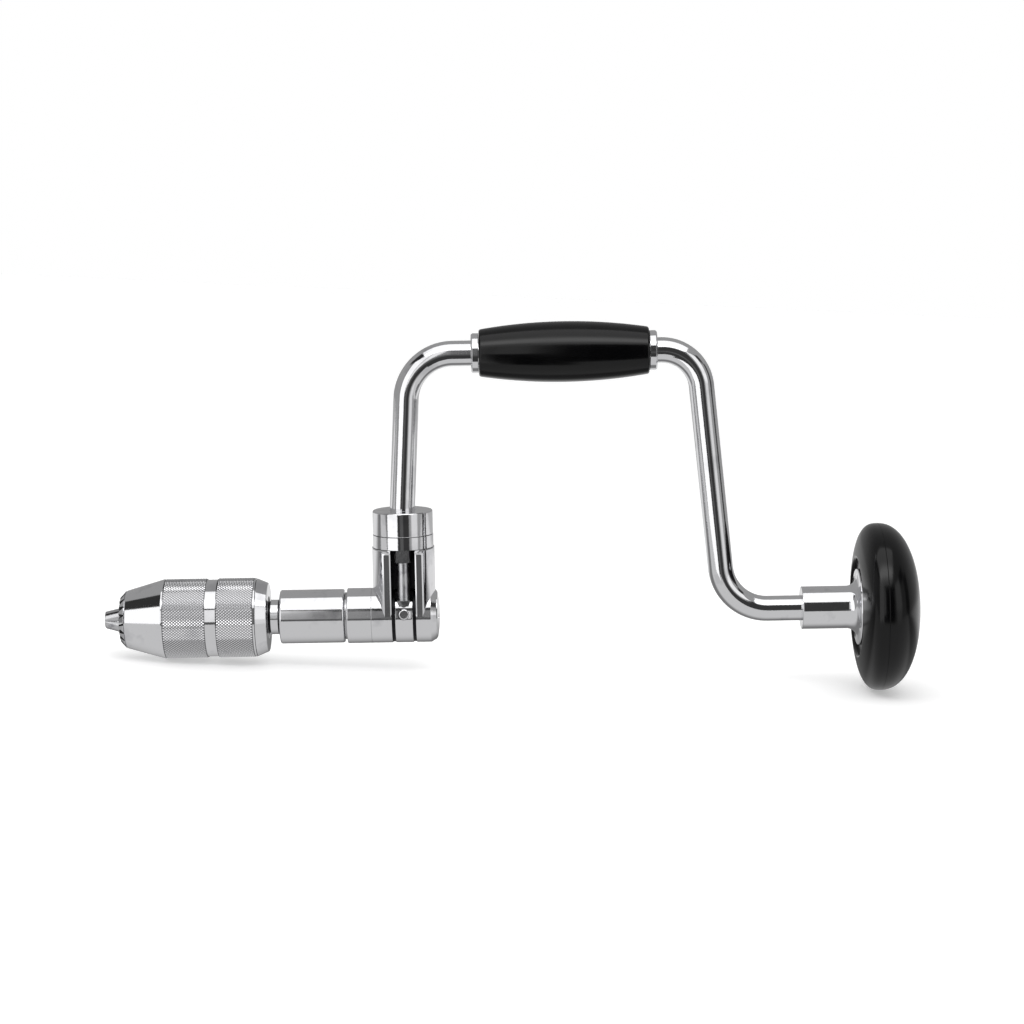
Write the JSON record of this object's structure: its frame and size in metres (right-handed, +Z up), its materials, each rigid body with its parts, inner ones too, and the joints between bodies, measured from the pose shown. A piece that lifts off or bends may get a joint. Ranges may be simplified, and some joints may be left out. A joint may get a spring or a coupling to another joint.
{
  "type": "ratchet bit brace",
  "caption": "Hand brace for boring wood: cranked steel bow with a turning grip, domed palm head, two-way ratchet and a knurled keyed three-jaw chuck.",
  "frame": {"origin": "centre of the closed chuck jaws' tips, on the spindle axis", "axes": "+X along the spindle axis from the jaw tips to the head, +Z up from the spindle axis to the grip, so the crank lies in the XZ plane; +Y across the crank plane"},
  "size_m": [0.3893, 0.08, 0.1793],
  "materials": {
    "plated_steel": "bright nickel plate, lightly worn",
    "bare_steel": "hardened steel, ground",
    "bronze": "plain bearing bronze",
    "black_plastic": "moulded, polished by use",
    "bush_plastic": "plain bearing plastic"
  },
  "bodies": {
    "frame": {"crank": "plated_steel", "socket_cap": "plated_steel", "cross_pin": "bare_steel", "yoke": "plated_steel", "front_ring": "plated_steel", "thrust_washer": "bare_steel", "front_bush": "bronze", "rear_bush": "bronze", "pawl_ring": "plated_steel", "ferrule_left": "plated_steel", "ferrule_right": "plated_steel", "head_nut": "bare_steel", "head_race": "bare_steel", "ball_cage": "bronze", "thrust_balls": "bare_steel", "pawl_spring_front": "bare_steel", "pawl_spring_rear": "bare_steel"},
    "spindle": {"spindle": "plated_steel", "ratchet_wheel": "bare_steel", "drive_key": "bare_steel", "wheel_clip": "bare_steel", "end_cap": "plated_steel", "chuck_body": "bare_steel"},
    "chuck_shell": {"chuck_shell": "plated_steel", "toothed_ring": "plated_steel", "nut_half_upper": "bare_steel", "nut_half_lower": "bare_steel", "nut_washer": "bare_steel", "rear_collar": "plated_steel"},
    "jaw_1": {"jaw_1": "bare_steel"},
    "jaw_2": {"jaw_2": "bare_steel"},
    "jaw_3": {"jaw_3": "bare_steel"},
    "selector": {"selector_ring": "plated_steel"},
    "front_pawl": {"front_pawl": "bare_steel"},
    "rear_pawl": {"rear_pawl": "bare_steel"},
    "grip": {"grip": "black_plastic", "grip_bush_left": "bush_plastic", "grip_bush_right": "bush_plastic"},
    "head": {"head_hub": "plated_steel", "head_inner": "black_plastic", "head_outer": "black_plastic", "head_screws": "bare_steel", "thrust_plate": "bare_steel"}
  },
  "joints": [
    {"name": "spindle_turn", "type": "hinge", "parent": "frame", "child": "spindle", "pos_m": [0.1, 0, 0], "axis": [1, 0, 0], "continuous": true},
    {"name": "chuck_turn", "type": "hinge", "parent": "spindle", "child": "chuck_shell", "pos_m": [0.04, 0, 0], "axis": [-1, 0, 0], "range_deg": [0, 2040]},
    {"name": "jaw_1_slide", "type": "slide", "parent": "spindle", "child": "jaw_1", "axis": [0.9613, 0.2756, 0], "range_m": [0, 0.0118]},
    {"name": "jaw_2_slide", "type": "slide", "parent": "spindle", "child": "jaw_2", "axis": [0.9613, -0.1378, 0.2387], "range_m": [0, 0.0118]},
    {"name": "jaw_3_slide", "type": "slide", "parent": "spindle", "child": "jaw_3", "axis": [0.9613, -0.1378, -0.2387], "range_m": [0, 0.0118]},
    {"name": "selector_turn", "type": "hinge", "parent": "frame", "child": "selector", "pos_m": [0.1434, 0, 0.036], "axis": [0, 0, 1], "range_deg": [0, 90]},
    {"name": "front_pawl_lift", "type": "slide", "parent": "frame", "child": "front_pawl", "axis": [0, 0, 1], "range_m": [0, 0.0026], "deforming": ["pawl_spring_front"]},
    {"name": "rear_pawl_drop", "type": "slide", "parent": "frame", "child": "rear_pawl", "axis": [0, 0, 1], "range_m": [-0.0026, 0], "deforming": ["pawl_spring_rear"]},
    {"name": "grip_turn", "type": "hinge", "parent": "frame", "child": "grip", "pos_m": [0.22145, 0, 0.125], "axis": [1, 0, 0], "continuous": true},
    {"name": "head_turn", "type": "hinge", "parent": "frame", "child": "head", "pos_m": [0.36, 0, 0], "axis": [1, 0, 0], "continuous": true}
  ],
  "couplings": [
    {"joint": "jaw_1_slide", "follows": "chuck_turn", "m_per_rad": 0.00033114},
    {"joint": "jaw_2_slide", "follows": "chuck_turn", "m_per_rad": 0.00033114},
    {"joint": "jaw_3_slide", "follows": "chuck_turn", "m_per_rad": 0.00033114},
    {"joint": "front_pawl_lift", "follows": "selector_turn", "m_per_rad": 0.0016552},
    {"joint": "rear_pawl_drop", "follows": "selector_turn", "m_per_rad": -0.0016552}
  ]
}
